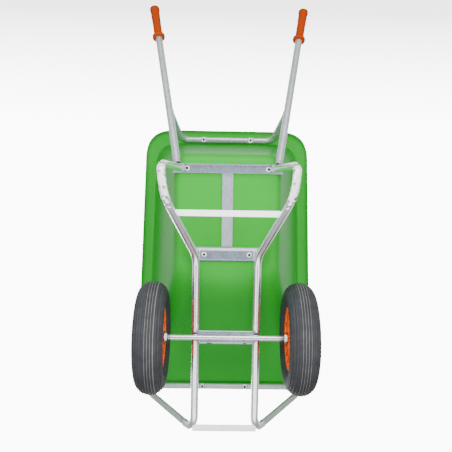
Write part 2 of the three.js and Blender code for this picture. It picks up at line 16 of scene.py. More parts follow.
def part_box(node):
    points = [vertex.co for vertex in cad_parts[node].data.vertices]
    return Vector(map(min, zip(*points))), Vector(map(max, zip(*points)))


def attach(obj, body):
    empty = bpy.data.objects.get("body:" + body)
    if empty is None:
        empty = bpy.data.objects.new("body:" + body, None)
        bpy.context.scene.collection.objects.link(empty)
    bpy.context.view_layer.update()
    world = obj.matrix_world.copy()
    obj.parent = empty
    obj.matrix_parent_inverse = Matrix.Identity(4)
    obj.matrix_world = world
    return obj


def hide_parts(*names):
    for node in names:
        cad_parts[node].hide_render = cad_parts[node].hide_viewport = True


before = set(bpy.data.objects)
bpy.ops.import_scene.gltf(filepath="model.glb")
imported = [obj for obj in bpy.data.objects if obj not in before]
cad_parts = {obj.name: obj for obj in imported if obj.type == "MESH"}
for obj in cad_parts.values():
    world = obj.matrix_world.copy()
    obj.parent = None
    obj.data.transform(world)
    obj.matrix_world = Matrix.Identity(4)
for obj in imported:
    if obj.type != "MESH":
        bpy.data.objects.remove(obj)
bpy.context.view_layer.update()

# ---- driving dimensions, in metres; y is measured from the axle ----
SIDES = {"left": 1.0, "right": -1.0}
AXLE_LOW, AXLE_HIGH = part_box("axle")
AXLE_Y = (AXLE_LOW.y + AXLE_HIGH.y) / 2
WHEEL_RADIUS = (AXLE_LOW.z + AXLE_HIGH.z) / 2
AXLE_RADIUS = (AXLE_HIGH.z - AXLE_LOW.z) / 2
TYRE_LOW, TYRE_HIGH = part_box("tyre_left")
TRACK = (TYRE_LOW.x + TYRE_HIGH.x) / 2
TYRE_HALF = (TYRE_HIGH.x - TYRE_LOW.x) / 2
TRAY_LOW, TRAY_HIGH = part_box("tray")
RIM_TOP = TRAY_HIGH.z
FLOOR = TRAY_LOW.z

# wall thicknesses, outer radii of the tubes, and the gap between welded pieces
WALL = 0.004
TUBE = 0.014
BAR = 0.0125
TUBE_WALL = 0.002
GAP = 0.0003
SHEET = 0.003

# how far apart the points of a bent route are
LEG_STEP = 0.0025
BAR_STEP = 0.0022
SHOE_STEP = 0.0015

# the main tubes, from the nose along to the foot and up to the crossmember
MAIN_GAUGE = 0.110
MAIN_RISE = 0.12
CHANNEL_HALF = 0.022
MAIN_Z = WHEEL_RADIUS + AXLE_RADIUS + SHEET + 3 * GAP + TUBE + MAIN_RISE * CHANNEL_HALF
NOSE = (0.1115, -0.360)
NOSE_STUB = 0.060
KNEE = 0.291
FOOT_FRONT = (0.211, 0.495)
FOOT_REAR = (0.224, 0.602)
LEG_TOP = 0.173
LEG_BENDS = (0.050, 0.098, 0.130, 0.034)
WORN_OFF = 0.0005
FOOT_Z = SHEET + GAP + TUBE - WORN_OFF

# the foot's creases, its strip, and the vent hole behind it
CREASE_DEPTHS = (0.0007, 0.0005)
CREASE_TOP = 0.06
CREASE_FADE = 0.03
SHOE_SPAN = (0.490, 0.592)
SHOE_SPREAD = math.radians(52)
SHOE_STEPS = 14
SHOE_TWIST = 0.10
VENT = (0.2265, 0.6065)
VENT_HALF = (0.0062, 0.0032)
VENT_SINK = 0.0022

# handles, rim bars and the seats pressed into them
CROSS_Y = 0.614
CROSS_DEPTH = 0.018
HANDLE_FOOT = Vector((0.1847, 0.616, 0.2493))
HANDLE_START = 0.014
HANDLE_TIP = Vector((0.319, 1.324, 0.585))
GRIP_LENGTH = 0.165
REAR_BAR_Y = 0.769
REAR_BAR_HALF = 0.195
REAR_BAR_WELD = 0.850
HOOP_Y = -0.286
HOOP_HALF = 0.352
BAR_BENDS = (0.048, 0.048)
BAR_Z = RIM_TOP - WALL - GAP - BAR
PLATE_TOP = FLOOR - GAP
DIMPLE_DEPTH = 0.007
DIMPLE_RADIUS = 0.0108
DIMPLE_FLAT = 0.72
DIMPLE_SLOPE = 0.60

# wheels: the tyre's section and ribs, then the rim's hub and ribs
TYRE_CROWN = 0.152
TYRE_FOOT = -0.12 * math.pi
TYRE_SWEEP = 1.24 * math.pi
TYRE_WALLS = (0.007, 0.006)
TREAD_HALF = 0.046
RIB_SPACING = 0.0092
RIB_TOP_HALF = 0.0014
GROOVE_SLOPE = 0.0016
GROOVE_DEPTH = 0.0021
HUB_HALF = 0.040
HUB_RADIUS = 0.0225
RIM_RIBS = 14
RIM_RIB_HALF = 0.0034
RIM_RIB_DEPTH = 0.0386
RIM_RIB_END = 0.0945

# the tray's outline at three heights: y of its two ends, half its width there, and its corners' rounding
LEVELS = {
    "rim": dict(
        rear=0.808, half_rear=0.343, round_rear=0.115, front=-0.301, half_front=0.371, round_front=0.060
    ),
    "top": dict(
        rear=0.752, half_rear=0.298, round_rear=0.090, front=-0.273, half_front=0.326, round_front=0.060
    ),
    "floor": dict(
        rear=0.668, half_rear=0.198, round_rear=0.060, front=0.205, half_front=0.186, round_front=0.080
    ),
}
INNER_FILLET = 0.027
OUTER_FILLET = 0.030
FLANGE_BEND = 0.15
RIM_LIP = 0.018
FRONT_LIP = 0.0052
LIP_WALL = 0.0038
LIP_ROUND = 0.0010

CAMERA_PLACE = (0.0357, 0.4008, -1.758)
CAMERA_YAW = math.radians(0.89)
CAMERA_ROLL = math.radians(0.88)
CAMERA_LENS = 43.46


def place(x, y, z):
    """A point whose y is measured from the axle, in the row frame."""
    return Vector((x, y + AXLE_Y, z))


def main_z(y):
    """The height of the main tubes' middle, which rises towards the nose."""
    return MAIN_Z - MAIN_RISE * y


def smoothstep(t):
    t = np.clip(t, 0.0, 1.0)
    return t * t * (3 - 2 * t)


def lerp(a, b, t):
    return a * (1 - t) + b * t


# ---- materials ----
def fill_ramp(node, stops):
    """Sets a colour ramp's (position, colour) stops."""
    elements = node.color_ramp.elements
    while len(elements) < len(stops):
        elements.new(0.5)
    for element, (position, colour) in zip(elements, stops):
        element.position = position
        element.color = (*colour, 1.0)


def set_range(node, *limits):
    """Sets a map range's limits: from low, from high, to low, to high."""
    for socket, value in zip(("From Min", "From Max", "To Min", "To Max"), limits):
        node.inputs[socket].default_value = value


class Nodes:
    """A short way to write a node tree."""

    def __init__(self, name):
        self.material = bpy.data.materials.new(name)
        self.material.use_nodes = True
        self.tree = self.material.node_tree
        self.shader = self.tree.nodes["Principled BSDF"]
        self.place = self.add("ShaderNodeTexCoord").outputs["Object"]

    def add(self, kind, **settings):
        node = self.tree.nodes.new(kind)
        for key, value in settings.items():
            setattr(node, key, value)
        return node

    def link(self, source, target):
        self.tree.links.new(source, target)

    def scaled(self, scale):
        mapping = self.add("ShaderNodeMapping")
        mapping.inputs["Scale"].default_value = scale
        self.link(self.place, mapping.inputs["Vector"])
        return mapping.outputs["Vector"]

    def noise(self, scale, detail=3.0, roughness=0.55, vector=None):
        node = self.add("ShaderNodeTexNoise")
        node.inputs["Scale"].default_value = scale
        node.inputs["Detail"].default_value = detail
        node.inputs["Roughness"].default_value = roughness
        self.link(vector or self.place, node.inputs["Vector"])
        return node.outputs["Fac"]

    def cells(self, scale, vector=None):
        node = self.add("ShaderNodeTexVoronoi")
        node.inputs["Scale"].default_value = scale
        self.link(vector or self.place, node.inputs["Vector"])
        return node.outputs["Color"]

    def ramp(self, value, stops):
        node = self.add("ShaderNodeValToRGB")
        fill_ramp(node, stops)
        self.link(value, node.inputs["Fac"])
        return node.outputs["Color"]

    def between(self, value, low, high):
        node = self.add("ShaderNodeMapRange")
        set_range(node, 0.0, 1.0, low, high)
        self.link(value, node.inputs["Value"])
        return node.outputs["Result"]

    def mixed(self, a, b, share, mode="MIX"):
        node = self.add("ShaderNodeMix", data_type="RGBA", blend_type=mode)
        for socket, value in ((node.inputs[0], share), (node.inputs[6], a), (node.inputs[7], b)):
            if isinstance(value, (int, float)):
                socket.default_value = value
            elif isinstance(value, tuple):
                socket.default_value = (*value, 1.0)
            else:
                self.link(value, socket)
        return node.outputs[2]

    def bump(self, height, distance, strength=1.0, under=None):
        node = self.add("ShaderNodeBump")
        node.inputs["Distance"].default_value = distance
        node.inputs["Strength"].default_value = strength
        self.link(height, node.inputs["Height"])
        if under is not None:
            self.link(under, node.inputs["Normal"])
        return node.outputs["Normal"]

    def finish(self, colour=None, roughness=None, normal=None, **fixed):
        if colour is not None:
            self.link(colour, self.shader.inputs["Base Color"])
        if roughness is not None:
            self.link(roughness, self.shader.inputs["Roughness"])
        if normal is not None:
            self.link(normal, self.shader.inputs["Normal"])
        for key, value in fixed.items():
            self.shader.inputs[key.replace("_", " ")].default_value = value
        return self.material


def grey(value):
    return (value, value, value)


def zinc(name, light, dark, spangle, dull, metal=1.0, edge_highlight=None, blots=0.0):
    """Zinc plating: crystal patches, faint clouds and hairline scratches.

    The turned-edge colour is a painted highlight on a sheet's turned edges, the faces that don't point
    straight up or down; blots is how dark the worn spots are.
    """
    n = Nodes(name)
    patches = n.between(n.cells(spangle), 0.0, 1.0)
    clouds = n.noise(14.0, 4.0)
    colour = n.mixed(n.ramp(patches, [(0.1, dark), (0.8, light)]), light, n.between(clouds, 0.35, 0.75))
    stains = n.ramp(n.noise(5.0, 6.0, 0.7), [(0.52, grey(1.0)), (0.72, grey(0.72))])
    colour = n.mixed(colour, stains, 0.5, "MULTIPLY")
    shine = n.between(n.noise(60.0, 3.0), dull - 0.07, dull + 0.11)
    if blots:
        spots = n.ramp(n.noise(42.0, 5.0, 0.75), [(0.55, grey(1.0)), (0.61, grey(1.0 - blots))])
        colour = n.mixed(colour, spots, 1.0, "MULTIPLY")
    # faces that don't point straight up or down take the paler edge colour: a painted highlight
    if edge_highlight:
        facing = n.add("ShaderNodeSeparateXYZ")
        n.link(n.add("ShaderNodeNewGeometry").outputs["Normal"], facing.inputs[0])
        flat = n.add("ShaderNodeMath", operation="ABSOLUTE")
        n.link(facing.outputs["Z"], flat.inputs[0])
        turned_edge = n.ramp(flat.outputs[0], [(0.90, grey(1.0)), (0.985, grey(0.0))])
        colour = n.mixed(colour, edge_highlight, turned_edge)
        shine = n.mixed(shine, grey(0.55), turned_edge)
        n.link(n.between(turned_edge, metal, 0.35), n.shader.inputs["Metallic"])
    else:
        n.shader.inputs["Metallic"].default_value = metal
    hairlines = n.noise(220.0, 2.0, vector=n.scaled((1.0, 0.12, 1.0)))
    normal = n.bump(hairlines, 0.00008, 0.6)
    normal = n.bump(n.noise(38.0, 2.0), 0.0006, 0.35, under=normal)
    return n.finish(colour, shine, normal)


def plastic(name, body, shade, dull, grain, scuffs=0.35, **fixed):
    """Moulded plastic: a fine pebble grain, slight unevenness of colour and pale scuffs."""
    n = Nodes(name)
    colour = n.ramp(n.noise(3.2, 3.0), [(0.3, shade), (0.7, body)])
    pale = tuple(0.55 * c + 0.45 for c in body)
    streaks = n.noise(30.0, 8.0, 0.75, vector=n.scaled((1.0, 0.16, 0.6)))
    worn = n.ramp(streaks, [(0.63, grey(0.0)), (0.80, grey(scuffs))])
    colour = n.mixed(colour, pale, worn)
    shine = n.between(n.noise(11.0, 5.0), dull - 0.06, dull + 0.08)
    normal = n.bump(n.noise(grain, 2.0), 0.00012, 0.5)
    normal = n.bump(n.noise(9.0, 2.0), 0.0012, 0.25, under=normal)
    return n.finish(colour, shine, normal, **fixed)


def rubber(name, light, dark, dull):
    """Dull rubber with a dusty bloom and a fine skin."""
    n = Nodes(name)
    dust = n.noise(26.0, 7.0, 0.7)
    colour = n.ramp(dust, [(0.30, dark), (0.72, light)])
    shine = n.between(n.noise(70.0, 4.0), dull - 0.08, dull + 0.10)
    normal = n.bump(n.noise(700.0, 3.0), 0.00010, 0.6)
    return n.finish(colour, shine, normal, Specular_IOR_Level=0.25)


GREEN = plastic("tray_plastic", (0.014, 0.262, 0.018), (0.012, 0.230, 0.015), 0.38, 900.0, 0.05,
                Specular_IOR_Level=0.17)
GRIP = plastic("grip_plastic", (0.290, 0.034, 0.001), (0.250, 0.028, 0.001), 0.50, 1100.0, 0.05,
               Specular_IOR_Level=0.06)
ORANGE = plastic("rim_plastic", (0.800, 0.090, 0.001), (0.720, 0.078, 0.001), 0.48, 1000.0, 0.05,
                 Specular_IOR_Level=0.12)
# a darker orange for the rim's web and the ribs' sides: painted shade between the ribs
ORANGE_PAINTED_SHADE = plastic("rim_web_painted_shade", (0.300, 0.024, 0.001), (0.260, 0.020, 0.001), 0.50, 1000.0, 0.03,
                      Specular_IOR_Level=0.10)
BLACK = plastic("black_nylon", (0.022, 0.022, 0.024), (0.014, 0.014, 0.015), 0.45, 1000.0, 0.10)
WHITE = plastic("white_nylon", (0.860, 0.860, 0.840), (0.780, 0.780, 0.760), 0.42, 1000.0, 0.15)
TUBE_ZINC = zinc("zinc_tube", (0.920, 0.925, 0.935), (0.640, 0.650, 0.680), 150.0, 0.17, metal=0.94)
REAR_ZINC = zinc("zinc_handle", (0.560, 0.600, 0.610), (0.300, 0.335, 0.350), 90.0, 0.34, metal=0.75)
# the hoop's zinc is darker and green-tinted: painted shade and a painted reflection of the green tray just
# above it
HOOP_ZINC_PAINTED_SHADE_AND_REFLECTION = zinc("zinc_hoop_painted_shade_and_reflection", (0.430, 0.510, 0.460), (0.300, 0.370, 0.330), 110.0, 0.36, metal=0.65)
# the sheets' blue-grey is partly the zinc's own spangle and partly a painted reflection of the blue-grey
# light below; their turned edges take a painted highlight
SHEET_ZINC = zinc("zinc_sheet", (0.480, 0.550, 0.635), (0.190, 0.250, 0.330), 150.0, 0.34,
                  edge_highlight=(0.93, 0.94, 0.95))
# the channel's zinc is a lighter copy of the sheet zinc: a painted highlight; its turned edges take a
# painted highlight too
CHANNEL_ZINC_PAINTED_HIGHLIGHT = zinc("zinc_channel_painted_highlight", (0.760, 0.810, 0.860), (0.430, 0.480, 0.550), 150.0, 0.38,
                    edge_highlight=(0.9, 0.92, 0.94))
# a near-white, barely metallic zinc for the brace, the nose bar and the nut flanges: a painted highlight
PALE_ZINC_PAINTED_HIGHLIGHT = zinc("zinc_pale_painted_highlight", (0.980, 0.985, 0.980), (0.880, 0.885, 0.880), 130.0, 0.50, metal=0.25)
WORN_ZINC = zinc("zinc_worn", (0.950, 0.950, 0.950), (0.780, 0.780, 0.790), 110.0, 0.34,
                 metal=0.55, blots=0.85)
WELD = zinc("zinc_weld", (0.560, 0.550, 0.540), (0.240, 0.235, 0.230), 260.0, 0.42)
FASTENER = zinc("zinc_fastener", (0.520, 0.520, 0.510), (0.360, 0.360, 0.355), 400.0, 0.30)
# dark steel: the axle welds' own dark colour; painted shade in the vent holes, on the nut hexagons and on
# the bolts' cut ends
DARK_STEEL_AND_PAINTED_SHADE = zinc("dark_steel_and_painted_shade", (0.100, 0.098, 0.095), (0.050, 0.049, 0.048), 400.0, 0.45)
TREAD = rubber("tyre_rubber", (0.036, 0.038, 0.042), (0.020, 0.021, 0.024), 0.66)
PALE_RIB_TOPS = rubber("tyre_rib_tops", (0.185, 0.182, 0.166), (0.105, 0.103, 0.094), 0.80)
TUBE_RUBBER = rubber("inner_tube_rubber", (0.030, 0.030, 0.031), (0.018, 0.018, 0.019), 0.5)


# ---- mesh helpers ----
def piece(name, points, faces, body, slot, materials, node=None, marks=None, sharp=40.0):
    """A mesh piece that rides on a body; marks gives each face's material."""
    mesh = bpy.data.meshes.new(name)
    mesh.from_pydata([tuple(p) for p in points], [], faces)
    for material in materials if isinstance(materials, (list, tuple)) else [materials]:
        mesh.materials.append(material)
    if marks is not None:
        mesh.polygons.foreach_set("material_index", marks)
    mesh.validate()
    mesh.shade_smooth()
    mesh.set_sharp_from_angle(angle=math.radians(sharp))
    thing = bpy.data.objects.new(name, mesh)
    bpy.context.scene.collection.objects.link(thing)
    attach(thing, body)
    if node:
        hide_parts(node)
    return thing


def strip_faces(rings, around, start=0, closed_rings=False):
    """Quads between successive rings of points."""
    count = rings if closed_rings else rings - 1
    faces = []
    for i in range(count):
        a, b = start + i * around, start + ((i + 1) % rings) * around
        faces += [(a + j, a + (j + 1) % around, b + (j + 1) % around, b + j) for j in range(around)]
    return faces


def end_caps(rings, around):
    """The two faces that close a strip's first and last rings."""
    last = (rings - 1) * around
    return [tuple(range(around))[::-1], tuple(range(last, last + around))]


def merged(parts):
    """Several (points, faces) in one."""
    points, faces = [], []
    for part_points, part_faces in parts:
        base = len(points)
        points += [Vector(p) for p in part_points]
        faces += [tuple(base + i for i in face) for face in part_faces]
    return points, faces


def turned(profile, centre, axis, sides):
    """A solid turned about an axis: profile is (radius, distance along the axis), closed on itself."""
    turn = Vector((0, 0, 1)).rotation_difference(Vector(axis).normalized()).to_matrix()
    rings = []
    for radius, along in profile:
        for j in range(sides):
            angle = 2 * math.pi * j / sides
            local = Vector((radius * math.cos(angle), radius * math.sin(angle), along))
            rings.append(Vector(centre) + turn @ local)
    return rings, strip_faces(len(profile), sides, closed_rings=True)


def bent(corners, bends, steps=12):
    """The points of a route of straight runs joined by arcs."""
    points = [corners[0]]
    for before, corner, after, bend in zip(corners, corners[1:], corners[2:], bends):
        inward = (corner - before).normalized()
        outward = (after - corner).normalized()
        turn = inward.angle(outward)
        setback = bend * math.tan(turn / 2)
        side = (outward - inward * inward.dot(outward)).normalized()
        start = corner - inward * setback
        for i in range(steps + 1):
            angle = turn * i / steps
            points.append(start + inward * bend * math.sin(angle) + side * bend * (1 - math.cos(angle)))
    return points + [corners[-1]]


def resampled(points, step):
    """The same route with a point about every step."""
    places = np.array([tuple(p) for p in points])
    lengths = np.concatenate([[0], np.cumsum(np.linalg.norm(np.diff(places, axis=0), axis=1))])
    count = max(2, int(math.ceil(lengths[-1] / step)) + 1)
    at = np.linspace(0, lengths[-1], count)
    return [Vector([np.interp(s, lengths, places[:, k]) for k in range(3)]) for s in at]


def frames(points):
    """Centre, across and up directions along a route, without twist."""
    tangents = []
    for i in range(len(points)):
        a, b = points[max(i - 1, 0)], points[min(i + 1, len(points) - 1)]
        tangents.append((b - a).normalized())
    up = Vector((0, 0, 1)) if abs(tangents[0].z) < 0.9 else Vector((0, 1, 0))
    across = tangents[0].cross(up).normalized()
    result = []
    for i, point in enumerate(points):
        if i:
            across = (across - tangents[i] * across.dot(tangents[i])).normalized()
        result.append((point, across, tangents[i].cross(across).normalized() * -1))
    return result


def outward_ways(across, up, sides):
    """The directions out of a route's point, all the way round it."""
    turns = [2 * math.pi * j / sides for j in range(sides)]
    return [across * math.cos(turn) + up * math.sin(turn) for turn in turns]


def tube(points, radius, wall=TUBE_WALL, sides=28, mouth=0.03, shape=None):
    """A tube with open ends, hollow for a short way in. shape moves each outer point."""
    route = frames(points)
    spots = []
    for point, across, up in route:
        for outward in outward_ways(across, up, sides):
            spot = point + outward * radius
            spots.append(shape(spot, outward) if shape else spot)
    faces = strip_faces(len(route), sides)
    for end, direction in ((0, 1), (len(route) - 1, -1)):
        point, across, up = route[end]
        inward = (route[end + direction][0] - point).normalized() * mouth
        rows = [tuple(range(end * sides, (end + 1) * sides))]
        for depth in (0.0, 1.0):
            rows.append(tuple(range(len(spots), len(spots) + sides)))
            ways = outward_ways(across, up, sides)
            spots += [point + outward * (radius - wall) + inward * depth for outward in ways]
        mouth_faces = []
        for a, b in zip(rows, rows[1:]):
            mouth_faces += [(a[j], b[j], b[(j + 1) % sides], a[(j + 1) % sides]) for j in range(sides)]
        mouth_faces.append(rows[-1])
        faces += mouth_faces if direction > 0 else [face[::-1] for face in mouth_faces]
    return spots, faces


def bead(points, radius, sides=8, closed=False):
    """A weld bead: a lumpy rod along a route."""
    route = frames(points)
    spots = []
    for i, (point, across, up) in enumerate(route):
        lump = 1.0 + 0.22 * math.sin(i * 2.1) + 0.12 * math.sin(i * 5.3 + 1.0)
        end = 1.0 if closed else min(1.0, 0.35 + 0.65 * min(i, len(route) - 1 - i) / 1.5)
        spots += [point + outward * radius * lump * end for outward in outward_ways(across, up, sides)]
    faces = strip_faces(len(route), sides, closed_rings=closed)
    return spots, faces if closed else faces + end_caps(len(route), sides)


def ring_route(centre, axis, radius, steps=30):
    """A circle of points about an axis, closed."""
    turn = Vector((0, 0, 1)).rotation_difference(Vector(axis).normalized()).to_matrix()
    angles = [2 * math.pi * i / steps for i in range(steps)]
    return [centre + turn @ Vector((radius * math.cos(a), radius * math.sin(a), 0)) for a in angles]


# ---- the frame's tubes ----
def hoop_corner(side):
    return place(side * HOOP_HALF, HOOP_Y, BAR_Z)


def rising_point(side, distance):
    """A point on the way from the nose up to the hoop's corner."""
    nose = place(side * NOSE[0], NOSE[1], main_z(NOSE[1]))
    return nose + (hoop_corner(side) - nose).normalized() * distance


def leg_route(side):
    corners = [
        rising_point(side, NOSE_STUB),
        place(side * NOSE[0], NOSE[1], main_z(NOSE[1])),
        place(side * MAIN_GAUGE, KNEE, main_z(KNEE)),
        place(side * FOOT_FRONT[0], FOOT_FRONT[1], FOOT_Z),
        place(side * FOOT_REAR[0], FOOT_REAR[1], FOOT_Z),
        place(side * LEG_TOP, CROSS_Y, PLATE_TOP - CROSS_DEPTH + 0.001),
    ]
    return resampled(bent(corners, LEG_BENDS), LEG_STEP)


def handle_point(side, y):
    share = (y - HANDLE_FOOT.y) / (HANDLE_TIP.y - HANDLE_FOOT.y)
    spot = HANDLE_FOOT.lerp(HANDLE_TIP, share)
    return place(side * spot.x, spot.y, spot.z)


def dimpled(bolts):
    """Presses a round seat into the underside of a bar at each bolt."""

    def shape(spot, outward):
        if outward.z > -0.05:
            return spot
        for x, y in bolts:
            reach = math.hypot(spot.x - x, spot.y - y) / DIMPLE_RADIUS
            if reach < DIMPLE_FLAT + DIMPLE_SLOPE:
                press = 1.0 - float(smoothstep((reach - DIMPLE_FLAT) / DIMPLE_SLOPE))
                floor = BAR_Z - BAR + DIMPLE_DEPTH
                if spot.z < floor:
                    spot.z += (floor - spot.z) * press
        return spot

    return shape


def in_vent(spot, margin=1.0):
    """Whether a point is in the oblong vent hole behind each foot."""
    x, y = abs(spot.x) - VENT[0], spot.y - AXLE_Y - VENT[1]
    along, across = x * 0.5 + y * 0.866, x * 0.866 - y * 0.5
    return spot.z < 0.05 and math.hypot(along / VENT_HALF[0], across / VENT_HALF[1]) < margin


def pressed_foot(spot, outward):
    """Small creases pressed into the foot, and the vent hole behind it."""
    along = spot.y - AXLE_Y
    if in_vent(spot, 1.15):
        return spot - outward * VENT_SINK
    near_foot = SHOE_SPAN[0] - CREASE_FADE < along < FOOT_REAR[1] + CREASE_FADE
    if near_foot and spot.z < CREASE_TOP and outward.z < 0.3:
        share = min(1.0, (CREASE_TOP - spot.z) / CREASE_FADE)
        coarse, fine = CREASE_DEPTHS
        depth = coarse * math.sin(along * 330.0) + fine * math.sin(along * 790.0 + spot.x * 200.0)
        spot -= outward * share * (coarse + depth)
    return spot


def bar_between(name, corners, node, bolt_node, bolt_y, material):
    """A rim bar along its corners, with a seat pressed in under each of its two bolts."""
    bolt_low, bolt_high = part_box(bolt_node)
    bolt_x = (bolt_low.x + bolt_high.x) / 2
    bolts = [(bolt_x, AXLE_Y + bolt_y), (-bolt_x, AXLE_Y + bolt_y)]
    route = resampled(bent(corners, BAR_BENDS), BAR_STEP)
    piece(name, *tube(route, BAR, sides=40, shape=dimpled(bolts)), "frame", "zinc", material, node)


def add_legs_and_handles():
    """Each side's main tube, with its vent hole painted dark as painted shade, and its handle tube."""
    for name, side in SIDES.items():
        points, faces = tube(leg_route(side), TUBE, sides=44, shape=pressed_foot)
        # faces in the vent hole take the dark steel: painted shade for the hole's inside
        marks = [1 if all(in_vent(points[i]) for i in face) else 0 for face in faces]
        finishes = [TUBE_ZINC, DARK_STEEL_AND_PAINTED_SHADE]
        piece(f"leg_{name}", points, faces, "frame", "zinc", finishes, f"leg_tube_{name}", marks)
        ends = [handle_point(side, HANDLE_FOOT.y + HANDLE_START), handle_point(side, HANDLE_TIP.y)]
        shape = tube(resampled(ends, 0.02), TUBE, sides=36)
        piece(f"handle_{name}", *shape, "frame", "zinc", REAR_ZINC, f"handle_tube_{name}")


def add_rim_bars():
    """The bar under the tray's rear rim and the hoop under its front rim."""
    rear = [
        handle_point(1, REAR_BAR_WELD),
        place(REAR_BAR_HALF, REAR_BAR_Y, BAR_Z),
        place(-REAR_BAR_HALF, REAR_BAR_Y, BAR_Z),
        handle_point(-1, REAR_BAR_WELD),
    ]
    bar_between("rear_bar", rear, "rear_rim_bar", "tray_bolt_rear_rim_left", REAR_BAR_Y, REAR_ZINC)
    start = NOSE_STUB + GAP
    front = [rising_point(1, start), hoop_corner(1), hoop_corner(-1), rising_point(-1, start)]
    # the hoop's darker, green-tinted zinc is painted shade and a painted reflection of the tray
    bar_between("hoop", front, "front_hoop", "tray_bolt_front_rim_left", HOOP_Y, HOOP_ZINC_PAINTED_SHADE_AND_REFLECTION)


def shoe_section(centre, tangent, side, ease, ripple):
    """One section of a foot strip: its outer arc, then its inner arc back."""
    sideways = Vector((-tangent.y, tangent.x, 0)).normalized() * math.copysign(1, tangent.y) * -1
    down = tangent.cross(sideways).normalized()
    down = down if down.z < 0 else -down
    outer = TUBE + GAP + SHEET + (ripple - GAP)
    inner = TUBE + 0.0001
    spots = []
    for radius, order in ((outer, range(SHOE_STEPS + 1)), (inner, range(SHOE_STEPS, -1, -1))):
        for k in order:
            angle = (2 * k / SHOE_STEPS - 1) * SHOE_SPREAD * ease + SHOE_TWIST * side
            spot = centre + (down * math.cos(angle) + sideways * math.sin(angle)) * radius
            spot.z = max(spot.z, 0.0)
            spots.append(spot)
    return spots


def add_shoes():
    """A strip that hugs the underside of each foot, with square ends and hammered creases."""
    for name, side in SIDES.items():
        low = [p for p in leg_route(side) if p.z < 0.1]
        under = [p for p in low if SHOE_SPAN[0] < p.y - AXLE_Y < SHOE_SPAN[1]]
        rings = frames(resampled(under, SHOE_STEP))
        points = []
        for i, (centre, across, up) in enumerate(rings):
            from_end = min(i, len(rings) - 1 - i)
            ease = 1.0 - 0.16 * (1 - min(1.0, from_end / 3)) ** 2
            ripple = 0.00045 * math.sin(i * 0.33) + 0.0003 * math.sin(i * 0.9 + 1.3)
            points += shoe_section(centre, across.cross(up), side, ease, ripple)
        around = 2 * (SHOE_STEPS + 1)
        faces = strip_faces(len(rings), around) + end_caps(len(rings), around)
        piece(f"shoe_{name}", points, faces, "frame", "zinc", WORN_ZINC, f"foot_shoe_{name}")


def soften(node, material, width=0.0008):
    """Keeps a CAD node, with a bevelled edge and a real finish."""
    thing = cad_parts[node]
    thing.data.materials.clear()
    thing.data.materials.append(material)
    bevel = thing.modifiers.new("edges", "BEVEL")
    bevel.width = width
    bevel.segments = 2
    bevel.limit_method = "ANGLE"
    bevel.angle_limit = math.radians(35)
    bevel.harden_normals = False


def add_sheet_metal():
    """The folded and flat steel pieces, which keep their CAD mesh."""
    for node in ("rear_crossmember", "front_tray_bracket", "axle_bracket"):
        soften(node, SHEET_ZINC)
    # the channel's lighter zinc is a painted highlight
    soften("centre_channel", CHANNEL_ZINC_PAINTED_HIGHLIGHT)
    # the brace and the nose bar take the near-white zinc: a painted highlight
    soften("leg_brace", PALE_ZINC_PAINTED_HIGHLIGHT, 0.0012)
    soften("nose_bar", PALE_ZINC_PAINTED_HIGHLIGHT)


def add_joint_welds():
    """Beads round the tubes' joints: handle foot, rear bar, hoop and leg top on each side."""
    for name, side in SIDES.items():
        foot = handle_point(side, HANDLE_FOOT.y + 0.022)
        handle_way = (handle_point(side, 1.0) - foot).normalized()
        arm = handle_point(side, REAR_BAR_WELD)
        arm_way = (place(side * REAR_BAR_HALF, REAR_BAR_Y, BAR_Z) - arm).normalized()
        joint = rising_point(side, NOSE_STUB)
        hoop_way = (hoop_corner(side) - joint).normalized()
        top = place(side * (LEG_TOP + 0.001), CROSS_Y, PLATE_TOP - CROSS_DEPTH)
        # each ring's centre, axis, radius and number of points, and its bead's radius
        rings = (
            (foot, handle_way, TUBE + 0.0003, 40, 0.0016),
            (arm + arm_way * (TUBE + 0.002), arm_way, BAR + 0.0004, 36, 0.0019),
            (joint, hoop_way, BAR + 0.0008, 36, 0.0013),
            (top, (0, 0, 1), TUBE + 0.0004, 40, 0.0020),
        )
        beads = [bead(ring_route(*ring), size, closed=True) for *ring, size in rings]
        piece(f"welds_{name}", *merged(beads), "frame", "zinc", WELD)


def add_axle_welds():
    """Beads along the axle channel: on its front lip, and where it meets each main tube."""
    steps = 8
    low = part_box("axle_bracket")[0].z
    runs = [(x0, x1, -CHANNEL_HALF + 0.0022, low, 0.0021) for x0, x1 in ((0.049, 0.068), (-0.073, -0.063))]
    top = WHEEL_RADIUS + AXLE_RADIUS - 0.001
    for side in SIDES.values():
        runs += [(side * 0.099, side * 0.121, y, top, 0.0026) for y in (-0.011, 0.011)]
    seams = []
    for x0, x1, y, z, size in runs:
        seams.append(bead([place(lerp(x0, x1, k / steps), y, z) for k in range(steps + 1)], size))
    piece("axle_welds", *merged(seams), "frame", "zinc", DARK_STEEL_AND_PAINTED_SHADE)


